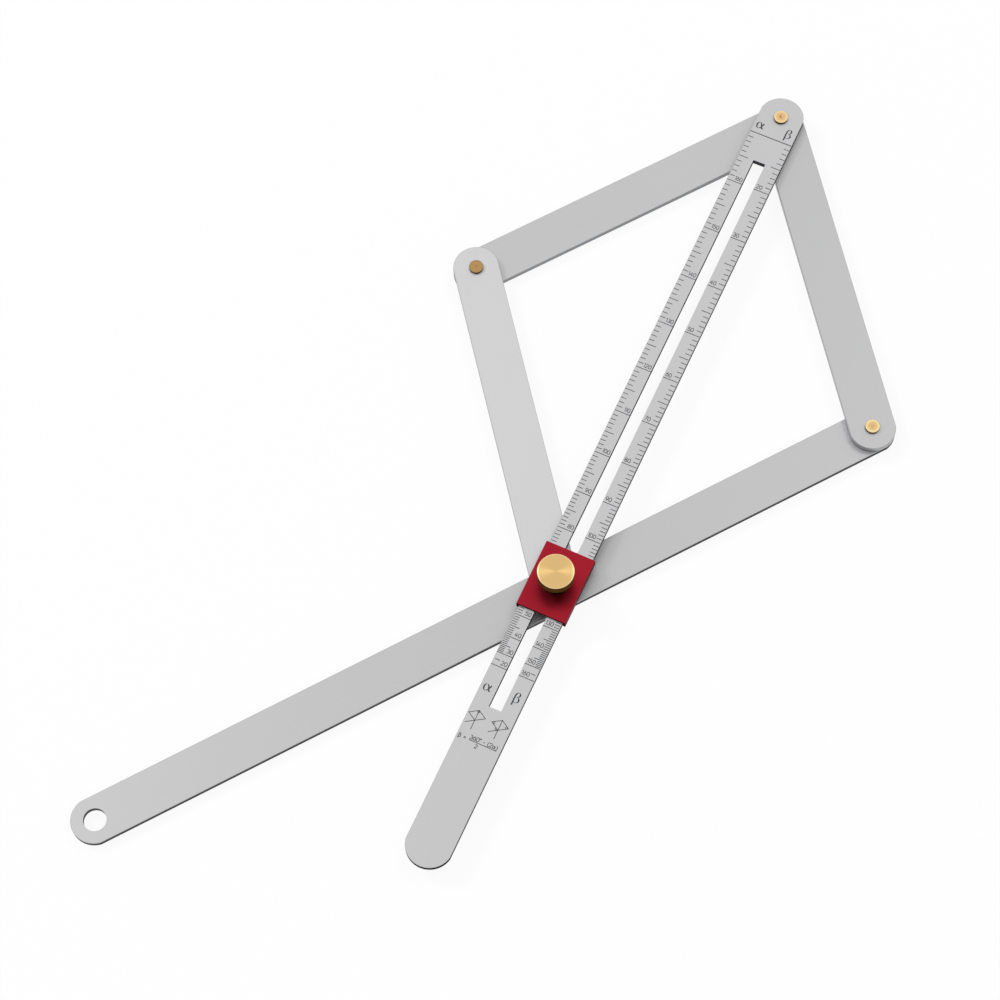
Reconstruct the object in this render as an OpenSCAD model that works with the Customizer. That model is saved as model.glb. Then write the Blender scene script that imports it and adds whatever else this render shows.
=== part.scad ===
// Angle finder: a rhombus of flat aluminium bars on brass rivets. A red slider clamps
// the rhombus on a slotted scale bar, and its upper edge shows the angle on the scale.
// Lengths are in millimetres and angles in degrees. The top pivot stands on the origin,
// the scale bar runs from it along -Y, and the tool lies flat on the plane z = 0.

/* [Pose] */
// Angle between the two short arms as the tool is laid out
rest_angle = 75; // [20:1:170]
// Widest angle that the tool can be set to
widest_angle = 170; // [150:1:171]
// Narrowest angle that the tool can be set to
narrowest_angle = 20; // [18:1:60]

/* [Bars] */
// Width of every bar
bar_w = 20.5; // [16:0.5:22]
// Thickness of every bar
bar_t = 3; // [1.5:0.1:4]
// Overall length of the scale bar and of the long arm
bar_length = 400; // [370:1:600]
// Distance between the pivots at the two ends of each rhombus side
side_length = 158.4; // [130:0.2:175]
// Amount by which the radius of a bar's end is over half the bar's width
end_crown = 0.2; // [0.05:0.05:1]
// Chamfer all round a bar's outer edges
edge_break = 0.2; // [0.05:0.05:0.5]
// Diameter of the hole at the free end of the long arm
hanging_hole_d = 10; // [5:0.5:12]

/* [Scale slot] */
// Width of the slot in the scale bar
slot_w = 5.8; // [4.4:0.1:8]
// Room between the stud and each end of the slot at the two end angles
slot_end_room = 0.2; // [0.1:0.1:2]

/* [Rivets] */
// Diameter of a rivet's shank
rivet_d = 4; // [3:0.1:5]
// Diameter of a rivet's upper head
rivet_head_d = 6.4; // [6:0.1:9]
// Height of a rivet's upper head
rivet_head_h = 1.2; // [0.6:0.1:2]
// Diameter of the tail that is closed over the backing washer
rivet_tail_d = 6; // [5.6:0.1:7]
// Height of the closed tail
rivet_tail_h = 0.7; // [0.4:0.1:1.5]
// Diameter of the centre mark in the top rivet's head
centre_mark_d = 1.2; // [0.6:0.1:2]
// Depth of that centre mark
centre_mark_depth = 0.25; // [0.1:0.05:0.5]
// Chamfer on the edges of the turned brass pieces
turned_edge = 0.15; // [0.05:0.05:0.3]
// Radial play of a bar on the rivet that it turns on
rivet_play = 0.06; // [0.02:0.01:0.1]

/* [Washers] */
// Diameter of the backing washer under each rivet's tail
backing_washer_d = 8; // [7.2:0.1:12]
// Thickness of a backing washer
backing_washer_t = 0.5; // [0.3:0.1:1]
// Diameter of the spacer washers between the bars
spacer_d = 12; // [8:0.5:15]
// Thickness of a spacer washer, the gap between two layers of bars
spacer_t = 0.3; // [0.2:0.05:0.8]
// Play between the scale bar and the spacer washer that it slides on
sliding_play = 0.05; // [0.02:0.01:0.1]

/* [Slider] */
// Length of the slider along the scale bar
slider_length = 31.6; // [24:0.2:36]
// Thickness of the slider's plate
slider_t = 1.2; // [0.8:0.1:2]
// Thickness of the slider's two side flanges
flange_t = 1.2; // [0.8:0.1:2]
// Play between a flange and the scale bar's edge
flange_play = 0.1; // [0.05:0.05:0.3]
// Play between the slider's plate and the scale bar's top face
plate_play = 0.1; // [0.05:0.05:0.3]
// Chamfer along the slider's two upper edges
slider_edge = 0.25; // [0.05:0.05:0.5]

/* [Clamp stud] */
// Diameter of the clamp stud's threaded shank
stud_d = 4; // [3:0.1:4.3]
// Diameter of the stud's low head under the long arm
stud_head_d = 10; // [8:0.5:14]
// Side of the square neck that keeps the stud from turning in the long arm
stud_neck_w = 5; // [4.4:0.1:6]
// Play between the square neck and its hole
stud_neck_play = 0.03; // [0.02:0.01:0.1]
// Radial play of the cross arm on the stud, the pivot that closes the rhombus
stud_play = 0.1; // [0.05:0.01:0.2]
// Length of thread inside the nut
thread_length = 8; // [5:0.5:9]

/* [Thumb nut] */
// Diameter of the nut's knurled head
nut_head_d = 16.4; // [13:0.2:20]
// Height of the knurled head
nut_head_h = 5; // [3:0.5:8]
// Diameter of the plain neck under the head
nut_neck_d = 9; // [7:0.5:12]
// Height of the plain neck
nut_neck_h = 6.8; // [5:0.2:10]
// Chamfer on the two rims of the head
nut_edge = 0.3; // [0.2:0.1:0.8]
// Number of knurl grooves round the head
knurl_count = 64; // [32:4:96]
// Depth of the knurl grooves
knurl_depth = 0.3; // [0.1:0.05:0.4]
// Play between the nut's thread and the stud
thread_play = 0.05; // [0.02:0.01:0.1]
// Room in the blind hole beyond the end of the stud
blind_room = 1.5; // [0.5:0.1:2]
// Diameter of the pressure washer under the nut
pressure_washer_d = 12; // [10:0.5:16]
// Thickness of the pressure washer
pressure_washer_t = 0.8; // [0.4:0.1:1.5]

/* [Hidden] */
$fn = 96;

// Extra length by which every cut runs past the face that it opens
overrun = 1;

// Colours of the pieces
silver = [0.80, 0.81, 0.82];
brass = [0.86, 0.70, 0.40];
steel = [0.62, 0.63, 0.65];
red = [0.63, 0.12, 0.18];

// Radius of a bar's rounded ends, and the pivots' distance on the two long bars
end_r = bar_w / 2 + end_crown;
long_pitch = bar_length - 2 * end_r;

// Pivots of the rhombus in plan
half_angle = rest_angle / 2;
top_pivot = [0, 0];
left_pivot = side_length * [-sin(half_angle), -cos(half_angle)];
right_pivot = side_length * [sin(half_angle), -cos(half_angle)];
clamp_pivot = left_pivot + right_pivot;

// Headings of the bars in plan, as seen from their first pivot
down_heading = -90;
left_heading = down_heading - half_angle;
right_heading = down_heading + half_angle;

// The three layers of bars, counted from the bottom
foot_h = rivet_tail_h + backing_washer_t;
function layer_z(layer) = foot_h + (layer - 1) * (bar_t + spacer_t);
function layer_top(layer) = layer_z(layer) + bar_t;

// Slot from the stud's place at the widest angle to its place at the narrowest
function stud_distance(angle) = 2 * side_length * cos(angle / 2);
slot_start = stud_distance(widest_angle) - stud_d / 2 - slot_end_room;
slot_end = stud_distance(narrowest_angle) + stud_d / 2 + slot_end_room;

// Heights of the clamp
slider_z = layer_top(3) + plate_play;
pressure_washer_z = slider_z + slider_t;
nut_z = pressure_washer_z + pressure_washer_t;
stud_top = nut_z + thread_length;

// Blank of a flat bar along +X: long edges and round ends are chamfered alike, and the
// ends' larger radius leaves a faint corner where they meet the straight edges
module bar_blank(pitch) {
    intersection() {
        translate([-end_r - overrun, 0, 0])
            rotate([90, 0, 90])
                linear_extrude(pitch + 2 * (end_r + overrun))
                    polygon([
                        [-bar_w / 2 + edge_break, 0],
                        [bar_w / 2 - edge_break, 0],
                        [bar_w / 2, edge_break],
                        [bar_w / 2, bar_t - edge_break],
                        [bar_w / 2 - edge_break, bar_t],
                        [-bar_w / 2 + edge_break, bar_t],
                        [-bar_w / 2, bar_t - edge_break],
                        [-bar_w / 2, edge_break]
                    ]);
        union() {
            end_disc();
            translate([0, -bar_w, 0])
                cube([pitch, 2 * bar_w, bar_t]);
            translate([pitch, 0, 0])
                end_disc();
        }
    }
}

// Round end of a bar
module end_disc() {
    rotate_extrude()
        polygon([
            [0, 0],
            [end_r - edge_break, 0],
            [end_r, edge_break],
            [end_r, bar_t - edge_break],
            [end_r - edge_break, bar_t],
            [0, bar_t]
        ]);
}

// Hole through a bar's thickness
module bar_hole(distance, diameter) {
    translate([distance, 0, -overrun])
        cylinder(d = diameter, h = bar_t + 2 * overrun);
}

// Puts a bar that is drawn along +X on its first pivot, in its layer
module lay(pivot, heading, layer) {
    translate([pivot[0], pivot[1], layer_z(layer)])
        rotate([0, 0, heading])
            children();
}

// Side of the rhombus, with a pivot hole at each end
module short_bar(first_hole_d, last_hole_d) {
    difference() {
        bar_blank(side_length);
        bar_hole(0, first_hole_d);
        bar_hole(side_length, last_hole_d);
    }
}

// Ring that lies flat, for the washers and spacers
module ring(pivot, z, outer_d, inner_d, thickness) {
    translate([pivot[0], pivot[1], z])
        difference() {
            cylinder(d = outer_d, h = thickness);
            translate([0, 0, -overrun])
                cylinder(d = inner_d, h = thickness + 2 * overrun);
        }
}

// Rivet from the ground up: closed tail, shank, flat head and an optional centre mark
module rivet(pivot, top_layer, mark_r, mark_depth) {
    head_z = layer_top(top_layer);
    head_top = head_z + rivet_head_h;
    translate([pivot[0], pivot[1], 0])
        rotate_extrude()
            polygon([
                [0, 0],
                [rivet_tail_d / 2 - turned_edge, 0],
                [rivet_tail_d / 2, turned_edge],
                [rivet_tail_d / 2, rivet_tail_h],
                [rivet_d / 2, rivet_tail_h],
                [rivet_d / 2, head_z],
                [rivet_head_d / 2, head_z],
                [rivet_head_d / 2, head_top - turned_edge],
                [rivet_head_d / 2 - turned_edge, head_top],
                [mark_r, head_top],
                [0, head_top - mark_depth]
            ]);
}

rivet_hole_d = rivet_d + 2 * rivet_play;
stud_hole_d = stud_d + 2 * stud_play;

// Slotted bar with the scale, in the top layer
module scale_bar() {
    color(silver)
        lay(top_pivot, down_heading, 3)
            difference() {
                bar_blank(long_pitch);
                bar_hole(0, rivet_hole_d);
                translate([slot_start, -slot_w / 2, -overrun])
                    cube([slot_end - slot_start, slot_w, bar_t + 2 * overrun]);
            }
}

// Short arm from the top pivot to the left one, in the bottom layer
module left_short_arm() {
    color(silver)
        lay(top_pivot, left_heading, 1)
            short_bar(rivet_hole_d, rivet_hole_d);
}

// Short arm from the top pivot to the right one, in the middle layer
module right_short_arm() {
    color(silver)
        lay(top_pivot, right_heading, 2)
            short_bar(rivet_hole_d, rivet_hole_d);
}

// Side of the rhombus from the left pivot to the clamp stud, in the middle layer
module cross_arm() {
    color(silver)
        lay(left_pivot, right_heading, 2)
            short_bar(rivet_hole_d, stud_hole_d);
}

// Long arm from the right pivot past the clamp stud to its hanging hole, in the bottom layer
module long_arm() {
    neck_hole_w = stud_neck_w + 2 * stud_neck_play;
    color(silver)
        lay(right_pivot, left_heading, 1)
            difference() {
                bar_blank(long_pitch);
                bar_hole(0, rivet_hole_d);
                bar_hole(long_pitch, hanging_hole_d);
                translate([side_length - neck_hole_w / 2, -neck_hole_w / 2, -overrun])
                    cube([neck_hole_w, neck_hole_w, bar_t + 2 * overrun]);
            }
}

// Rivets: the top one holds three bars and the others two
module top_rivet() {
    color(brass)
        rivet(top_pivot, 3, centre_mark_d / 2, centre_mark_depth);
}

module left_rivet() {
    color(brass)
        rivet(left_pivot, 2, 0, 0);
}

module right_rivet() {
    color(brass)
        rivet(right_pivot, 2, 0, 0);
}

// Backing washers between the bottom bars and the rivets' tails
module backing_washer(pivot) {
    color(brass)
        ring(pivot, rivet_tail_h, backing_washer_d, rivet_hole_d, backing_washer_t);
}

module top_backing_washer() {
    backing_washer(top_pivot);
}

module left_backing_washer() {
    backing_washer(left_pivot);
}

module right_backing_washer() {
    backing_washer(right_pivot);
}

// Spacer washers that keep the layers of bars apart
module spacer(pivot, layer_below, hole_d, thickness) {
    color(steel)
        ring(pivot, layer_top(layer_below), spacer_d, hole_d, thickness);
}

module top_lower_spacer() {
    spacer(top_pivot, 1, rivet_hole_d, spacer_t);
}

module top_upper_spacer() {
    spacer(top_pivot, 2, rivet_hole_d, spacer_t);
}

module left_spacer() {
    spacer(left_pivot, 1, rivet_hole_d, spacer_t);
}

module right_spacer() {
    spacer(right_pivot, 1, rivet_hole_d, spacer_t);
}

module clamp_lower_spacer() {
    spacer(clamp_pivot, 1, stud_hole_d, spacer_t);
}

// Spacer washer that the scale bar's two rails slide on
module clamp_upper_spacer() {
    spacer(clamp_pivot, 2, stud_hole_d, spacer_t - sliding_play);
}

// Channel that straddles the scale bar: a plate on its top face and a flange on each edge
module slider() {
    inner_w = bar_w / 2 + flange_play;
    outer_w = inner_w + flange_t;
    flange_z = layer_z(3);
    color(red)
        translate([clamp_pivot[0], clamp_pivot[1], 0])
            difference() {
                translate([0, slider_length / 2, 0])
                    rotate([90, 0, 0])
                        linear_extrude(slider_length)
                            polygon([
                                [-outer_w, flange_z],
                                [-inner_w, flange_z],
                                [-inner_w, slider_z],
                                [inner_w, slider_z],
                                [inner_w, flange_z],
                                [outer_w, flange_z],
                                [outer_w, pressure_washer_z - slider_edge],
                                [outer_w - slider_edge, pressure_washer_z],
                                [-outer_w + slider_edge, pressure_washer_z],
                                [-outer_w, pressure_washer_z - slider_edge]
                            ]);
                translate([0, 0, slider_z - overrun])
                    cylinder(d = stud_hole_d, h = slider_t + 2 * overrun);
            }
}

// Stud with a low head under the long arm and a square neck in it
module clamp_stud() {
    color(steel)
        translate([clamp_pivot[0], clamp_pivot[1], 0]) {
            rotate_extrude()
                polygon([
                    [0, 0],
                    [stud_head_d / 2 - turned_edge, 0],
                    [stud_head_d / 2, turned_edge],
                    [stud_head_d / 2, foot_h],
                    [stud_d / 2, foot_h],
                    [stud_d / 2, stud_top - turned_edge],
                    [stud_d / 2 - turned_edge, stud_top],
                    [0, stud_top]
                ]);
            rotate([0, 0, left_heading])
                translate([-stud_neck_w / 2, -stud_neck_w / 2, foot_h])
                    cube([stud_neck_w, stud_neck_w, bar_t]);
        }
}

// Captive washer between the slider and the nut
module pressure_washer() {
    color(brass)
        ring(clamp_pivot, pressure_washer_z, pressure_washer_d, stud_hole_d, pressure_washer_t);
}

// Knurled thumb nut with a blind thread, turned from one bar of brass: a neck, and a head
// whose knurled band stands a little proud of the chamfered rims above and below it
module thumb_nut() {
    band_z = nut_neck_h + nut_edge;
    band_h = nut_head_h - 2 * nut_edge;
    valley_r = nut_head_d / 2 - knurl_depth;
    rim_r = valley_r - turned_edge;
    color(brass)
        translate([clamp_pivot[0], clamp_pivot[1], nut_z])
            difference() {
                union() {
                    rotate_extrude()
                        polygon([
                            [0, 0],
                            [nut_neck_d / 2, 0],
                            [nut_neck_d / 2, nut_neck_h],
                            [rim_r - nut_edge, nut_neck_h],
                            [rim_r, band_z],
                            [rim_r, band_z + band_h],
                            [rim_r - nut_edge, band_z + band_h + nut_edge],
                            [0, band_z + band_h + nut_edge]
                        ]);
                    translate([0, 0, band_z])
                        linear_extrude(band_h)
                            polygon([
                                for (i = [0 : 2 * knurl_count - 1])
                                    let (r = i % 2 == 0 ? nut_head_d / 2 : valley_r)
                                    r * [cos(i * 180 / knurl_count), sin(i * 180 / knurl_count)]
                            ]);
                }
                translate([0, 0, -overrun])
                    cylinder(d = stud_d + 2 * thread_play, h = overrun + thread_length + blind_room);
            }
}

scale_bar();
left_short_arm();
right_short_arm();
cross_arm();
long_arm();
top_rivet();
left_rivet();
right_rivet();
top_backing_washer();
left_backing_washer();
right_backing_washer();
top_lower_spacer();
top_upper_spacer();
left_spacer();
right_spacer();
clamp_lower_spacer();
clamp_upper_spacer();
slider();
clamp_stud();
pressure_washer();
thumb_nut();
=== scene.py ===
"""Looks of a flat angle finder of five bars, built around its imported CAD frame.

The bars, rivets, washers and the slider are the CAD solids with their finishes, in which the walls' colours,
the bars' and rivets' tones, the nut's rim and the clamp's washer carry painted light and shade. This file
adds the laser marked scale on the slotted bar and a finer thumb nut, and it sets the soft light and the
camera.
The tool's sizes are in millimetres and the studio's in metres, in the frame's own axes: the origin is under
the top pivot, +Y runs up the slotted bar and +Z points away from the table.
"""

import logging
from dataclasses import dataclass, field
from enum import Enum

import bpy
import numpy as np
from bpy.types import ID, Material, Node, NodeSocket, NodeTree, Object
from mathutils import Matrix, Vector


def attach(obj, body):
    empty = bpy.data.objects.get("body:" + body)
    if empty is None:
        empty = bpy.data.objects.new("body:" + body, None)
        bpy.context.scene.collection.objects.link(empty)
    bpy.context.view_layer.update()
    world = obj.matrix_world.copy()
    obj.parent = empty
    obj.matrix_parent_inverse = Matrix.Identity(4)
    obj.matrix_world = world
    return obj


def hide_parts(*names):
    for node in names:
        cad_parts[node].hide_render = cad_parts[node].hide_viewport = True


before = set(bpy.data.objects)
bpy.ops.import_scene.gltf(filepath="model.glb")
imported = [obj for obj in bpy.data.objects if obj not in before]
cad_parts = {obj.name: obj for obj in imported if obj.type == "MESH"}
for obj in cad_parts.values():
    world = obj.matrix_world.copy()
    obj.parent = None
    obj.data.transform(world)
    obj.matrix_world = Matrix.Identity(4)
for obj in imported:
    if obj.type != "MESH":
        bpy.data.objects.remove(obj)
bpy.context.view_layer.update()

LOG = logging.getLogger("angle_finder")
# Two numbers that belong together: a place, a size, or the two ends of a change
Pair = tuple[float, float]
MM = 0.001
WHITE = (1.0, 1.0, 1.0, 1.0)
# The upward part of a normal where a surface stops being a wall, and where it is wholly a face
WALL_TO_FACE = (0.3, 0.6)
# How far the rings texture's wave turns over one unit of scaled length, in radians
WAVE_TURN = 20.0
# The Mix node's colour inputs and its colour output, which share their names with the plain ones
MIX_A, MIX_B, MIX_RESULT = 6, 7, 2
# The least cosine of half a turn that a line's corner is drawn out for
SHARPEST_CORNER = 0.5


class Slot(Enum):
    """Two material slot names, bars and brass, which nothing in this script uses."""

    BARS = "bars"
    BRASS = "brass"


class Rail(Enum):
    """The two rails beside the slot, by the side of the bar that each is on."""

    ALPHA = -1
    BETA = 1


# Colour and node helpers


def linear(code: str) -> tuple[float, float, float, float]:
    """Turns an sRGB hex colour into a linear one by the standard curve: a short straight start, and a power
    of 2.4 above it.

    Args:
        code: The colour as "#RRGGBB".

    Returns:
        Red, green, blue and an alpha of 1.
    """
    channels = np.array([int(code[i:i + 2], 16) for i in (1, 3, 5)]) / 255
    curve = np.where(channels <= 0.04045, channels / 12.92, ((channels + 0.055) / 1.055) ** 2.4)
    return (*(float(c) for c in curve), 1.0)


def feed(node: Node, inputs: dict) -> None:
    """Sets and links a node's inputs.

    Args:
        node: The node.
        inputs: For each input, by name or number, a plain value, the socket that feeds it, or the node
            whose first output does.
    """
    for key, value in inputs.items():
        if isinstance(value, Node):
            value = value.outputs[0]
        if isinstance(value, NodeSocket):
            node.id_data.links.new(value, node.inputs[key])
        else:
            node.inputs[key].default_value = value


def add_node(tree: NodeTree, kind: str, inputs: dict | None = None, **settings) -> Node:
    """Adds a shader node with its settings, its plain values and its links.

    Args:
        tree: The node tree that gets the node.
        kind: The node's type, without its first word ShaderNode.
        inputs: Its inputs, as feed() takes them.
        **settings: The node's own properties.

    Returns:
        The new node.
    """
    node = tree.nodes.new("ShaderNode" + kind)
    for name, value in settings.items():
        setattr(node, name, value)
    feed(node, inputs or {})
    return node


# Frame and mesh helpers


def middle_of(name: str) -> Pair:
    """Where a round CAD node has its axis, in millimetres: the middle of its box as seen from above."""
    x, y = np.array([corner[:2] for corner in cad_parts[name].bound_box]).mean(0) / MM
    return float(x), float(y)


@dataclass(frozen=True)
class Solid:
    """A closed surface as arrays: its points in millimetres and its four-sided faces."""

    points: np.ndarray
    faces: np.ndarray

    @staticmethod
    def joined(solids: list["Solid"]) -> "Solid":
        """Puts several solids into one, each with its point numbers moved past the last one's."""
        starts = np.cumsum([0] + [len(s.points) for s in solids[:-1]])
        return Solid(np.concatenate([s.points for s in solids]),
                     np.concatenate([s.faces + start for s, start in zip(solids, starts)]))


def placed(name: str, data: ID) -> Object:
    """Puts an object into the scene, at the origin.

    Args:
        name: The object's name.
        data: Its mesh, lamp or camera.

    Returns:
        The object.
    """
    made = bpy.data.objects.new(name, data)
    bpy.context.scene.collection.objects.link(made)
    return made


def mesh_piece(name: str, points: np.ndarray, faces: list, body: str) -> Object:
    """Makes an object at the origin whose place is in its mesh, riding on a body.

    Args:
        name: The piece's name.
        points: Its corners in millimetres.
        faces: Its faces as lists of point numbers, turned outwards.
        body: The body that it moves with.

    Returns:
        The object.
    """
    data = bpy.data.meshes.new(name)
    data.from_pydata((points * MM).tolist(), [], faces)
    data.validate()
    piece = placed(name, data)
    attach(piece, body)
    return piece


def arc(centre: Pair, radii: Pair, start: float, end: float, count: int = 15) -> np.ndarray:
    """Points along part of an ellipse: centre + (rx cos t, ry sin t), with t from start to end in degrees."""
    turn = np.radians(np.linspace(start, end, count))
    return np.array(centre) + np.column_stack([radii[0] * np.cos(turn), radii[1] * np.sin(turn)])


def ring(centre: Pair, radii: Pair, count: int) -> np.ndarray:
    """Points evenly round a whole ellipse, the last one a step before the first."""
    return arc(centre, radii, 0, 360 - 360 / count, count)


def flowing(knots: list[Pair], steps: int = 7) -> np.ndarray:
    """A smooth line through knots: between two knots each point is a cubic blend of them and of the knot
    before and after, so that the line's slope at a knot is half the step between its neighbours.

    Args:
        knots: The points that the line passes through.
        steps: Points for each stretch between knots.

    Returns:
        The points, one per row.
    """
    p = np.array([knots[0], *knots, knots[-1]], float)
    before, here, there, after = p[:-3, None], p[1:-2, None], p[2:-1, None], p[3:, None]
    t = np.linspace(0, 1, steps, endpoint=False)[None, :, None]
    line = 0.5 * (2 * here + (there - before) * t + (2 * before - 5 * here + 4 * there - after) * t ** 2
                  + (3 * here - before - 3 * there + after) * t ** 3)
    return np.vstack([line.reshape(-1, 2), p[-1]])


def ribbon(line: np.ndarray, width: np.ndarray | float, low: float, high: np.ndarray | float,
           closed: bool = False) -> Solid:
    """A flat raised line. Each point of the centreline moves to both sides along the mean of its stretches'
    normals, by half the width over the cosine of half the turn, which is held up in a sharp corner. The four
    corners of each cross-section are carried along.

    Args:
        line: The centreline, one point per row.
        width: The line's width, one number or one for each point.
        low: Height of its underside.
        high: Height of its top, one number or one for each point.
        closed: Whether the last point runs on to the first.

    Returns:
        The solid.
    """
    ahead = np.roll(line, -1, axis=0) - line
    ahead /= np.linalg.norm(ahead, axis=1, keepdims=True)
    if not closed:
        ahead[-1] = ahead[-2]
    side = np.column_stack([-ahead[:, 1], ahead[:, 0]])
    earlier = np.roll(side, 1, axis=0)
    if not closed:
        earlier[0] = side[0]
    normal = side + earlier
    normal /= np.linalg.norm(normal, axis=1, keepdims=True)
    reach = width / 2 / np.maximum((normal * side).sum(1), SHARPEST_CORNER)
    left, right = line + normal * reach[:, None], line - normal * reach[:, None]
    rows = np.stack([np.column_stack([edge, np.broadcast_to(z, len(line))])
                     for edge, z in ((left, low), (right, low), (right, high), (left, high))], axis=1)
    row = np.arange(len(line) if closed else len(line) - 1)[:, None, None] + (0, 1, 1, 0)
    corner = np.arange(4)[:, None] + (0, 0, 1, 1)
    faces = (row % len(line) * 4 + corner % 4).reshape(-1, 4)
    if not closed:
        last = 4 * (len(line) - 1)
        faces = np.vstack([faces, [0, 1, 2, 3], [last + 3, last + 2, last + 1, last]])
    return Solid(rows.reshape(-1, 3), faces)


# Finishes


@dataclass(frozen=True)
class Finish:
    """A surface and how it was made. Each kind paints its own nodes."""

    label: str

    def material(self) -> Material:
        """Makes this finish's material at its first use.

        Returns:
            The material.
        """
        made = bpy.data.materials.get(self.label)
        if made is None:
            made = bpy.data.materials.new(self.label)
            made.use_nodes = True
            self.paint(made.node_tree, made.node_tree.nodes["Principled BSDF"])
        return made

    def paint(self, tree: NodeTree, shader: Node) -> None:
        """Links this finish's nodes to the shader."""
        raise NotImplementedError

    def dress(self, *pieces: Object | str) -> None:
        """Gives pieces this finish.

        Args:
            *pieces: The objects to dress, and the names of the CAD nodes to dress.
        """
        for piece in pieces:
            data = (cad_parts[piece] if isinstance(piece, str) else piece).data
            data.materials.clear()
            data.materials.append(self.material())


def mottle(tree: NodeTree, vector: Node | NodeSocket, scale: float, detail: float,
           *levels: Pair) -> list[Node]:
    """An uneven pattern, and the values that vary with it.

    Args:
        tree: The material's node tree.
        vector: Where the pattern is read.
        scale: Its spots in one unit of that.
        detail: How many finer copies of itself it adds.
        *levels: Each value's level where the pattern is 0 and where it is 1.

    Returns:
        The node of the pattern, and then that of each value.
    """
    pattern = add_node(tree, "TexNoise", {"Vector": vector, "Scale": scale, "Detail": detail})
    return [pattern, *(add_node(tree, "MapRange", {"Value": pattern, "To Min": low, "To Max": high})
                       for low, high in levels)]


def across_axis(tree: NodeTree, axis: Pair) -> Node:
    """Gives the way to a point from an upright axis, whose place is in millimetres."""
    return add_node(tree, "Mapping", {"Vector": add_node(tree, "TexCoord").outputs["Object"],
                                      "Location": (-axis[0] * MM, -axis[1] * MM, 0.0),
                                      "Scale": (1.0, 1.0, 0.0)})


def rise(tree: NodeTree, way: Node, radii: Pair, first: float = 0.0) -> Node:
    """Gives a share that goes from its first level to 1 between two radii, which are in millimetres."""
    away = add_node(tree, "VectorMath", {0: way}, operation="LENGTH").outputs["Value"]
    return add_node(tree, "MapRange", {"Value": away, "From Min": radii[0] * MM, "From Max": radii[1] * MM,
                                       "To Min": first})


def face_and_wall(shader: Node, face: Node, wall: Node | tuple, edge: float, upward: bool = False) -> None:
    """Gives a metal's faces and walls their colours, and dims what its walls reflect at a low angle. The
    walls' colour and that dimming are painted light and shade, set for each finish. The normal's upward part
    tells upright walls from faces and bevels.

    Args:
        shader: The metal's Principled node.
        face: The face's colour.
        wall: The wall's colour, painted light and shade.
        edge: The share of that reflection that a wall keeps.
        upward: Whether a downward face counts as a wall.
    """
    tree = shader.id_data
    height = add_node(tree, "SeparateXYZ", {0: add_node(tree, "TexCoord").outputs["Normal"]}).outputs["Z"]
    if not upward:
        height = add_node(tree, "Math", {0: height}, operation="ABSOLUTE")
    share = add_node(tree, "MapRange",
                     {"Value": height, "From Min": WALL_TO_FACE[0], "From Max": WALL_TO_FACE[1]})
    colour = add_node(tree, "Mix", {0: share, MIX_A: wall, MIX_B: face}, data_type="RGBA")
    feed(shader, {"Base Color": colour.outputs[MIX_RESULT], "Metallic": 1.0})
    if edge < 1:
        tint = add_node(tree, "Mix", {0: share, MIX_A: (edge, edge, edge, 1.0), MIX_B: WHITE},
                        data_type="RGBA")
        feed(shader, {"Specular Tint": tint.outputs[MIX_RESULT]})


@dataclass(frozen=True)
class AnodisedAluminium(Finish):
    """Aluminium stock, brushed along its length and anodised. The fine grain spreads each reflection across
    it, so a piece is brighter where the light comes from its side, and it leaves faint long streaks. The
    sheared walls have upright marks, and their colour and dimmed reflection are painted light and shade, set
    for each piece by how its walls face the light."""

    flat: str
    wall: str
    wall_edge: float
    roughness: Pair = (0.4, 0.5)
    anisotropy: float = 0.2
    grain: Pair = (0.0, 1.0)
    # Brushing leaves scratches about 0.05 mm wide. They are drawn wider so that they show.
    grain_mm: float = 0.3
    grain_detail: float = 3.0
    grain_tone: Pair = (0.96, 1.04)
    grain_relief: float = 0.25
    grain_depth_mm: float = 0.01
    streak_mm: float = 40.0
    streak_detail: float = 4.0
    streak_tone: Pair = (0.97, 1.03)
    # The shear's marks cross the whole wall, so they are drawn much longer than it is high.
    shear_mm: float = 25.0
    shear_detail: float = 2.0
    shear_tone: Pair = (0.88, 1.12)

    def paint(self, tree: NodeTree, shader: Node) -> None:
        """Mixes the flats' colour with the walls' and roughens both.

        Args:
            tree: The material's node tree.
            shader: Its Principled node.
        """
        fine, long, high = (1 / (size * MM) for size in (self.grain_mm, self.streak_mm, self.shear_mm))
        place = add_node(tree, "TexCoord").outputs["Object"]
        turned = add_node(tree, "VectorRotate", {"Vector": place, "Angle": float(np.arctan2(*self.grain))},
                          rotation_type="Z_AXIS")
        along = add_node(tree, "Mapping", {"Vector": turned, "Scale": (fine, long, fine)})
        upright = add_node(tree, "Mapping", {"Vector": place, "Scale": (fine, fine, high)})
        etch, speckle, rough = mottle(tree, place, fine, self.grain_detail, self.grain_tone, self.roughness)
        _, brushed = mottle(tree, along, 1.0, self.streak_detail, self.streak_tone)
        _, sheared = mottle(tree, upright, 1.0, self.shear_detail, self.shear_tone)
        shade = add_node(tree, "Math", {0: speckle, 1: brushed}, operation="MULTIPLY")
        flat = add_node(tree, "VectorMath", {0: linear(self.flat)[:3], "Scale": shade}, operation="SCALE")
        wall = add_node(tree, "VectorMath", {0: linear(self.wall)[:3], "Scale": sheared}, operation="SCALE")
        face_and_wall(shader, flat, wall, self.wall_edge)
        bump = add_node(tree, "Bump", {"Strength": self.grain_relief, "Height": etch,
                                       "Distance": self.grain_depth_mm * MM})
        across = add_node(tree, "VectorTransform", {0: (self.grain[1], -self.grain[0], 0.0)},
                          vector_type="VECTOR", convert_from="OBJECT", convert_to="WORLD")
        feed(shader, {"Roughness": rough, "Normal": bump, "Tangent": across, "Anisotropic": self.anisotropy})


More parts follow.
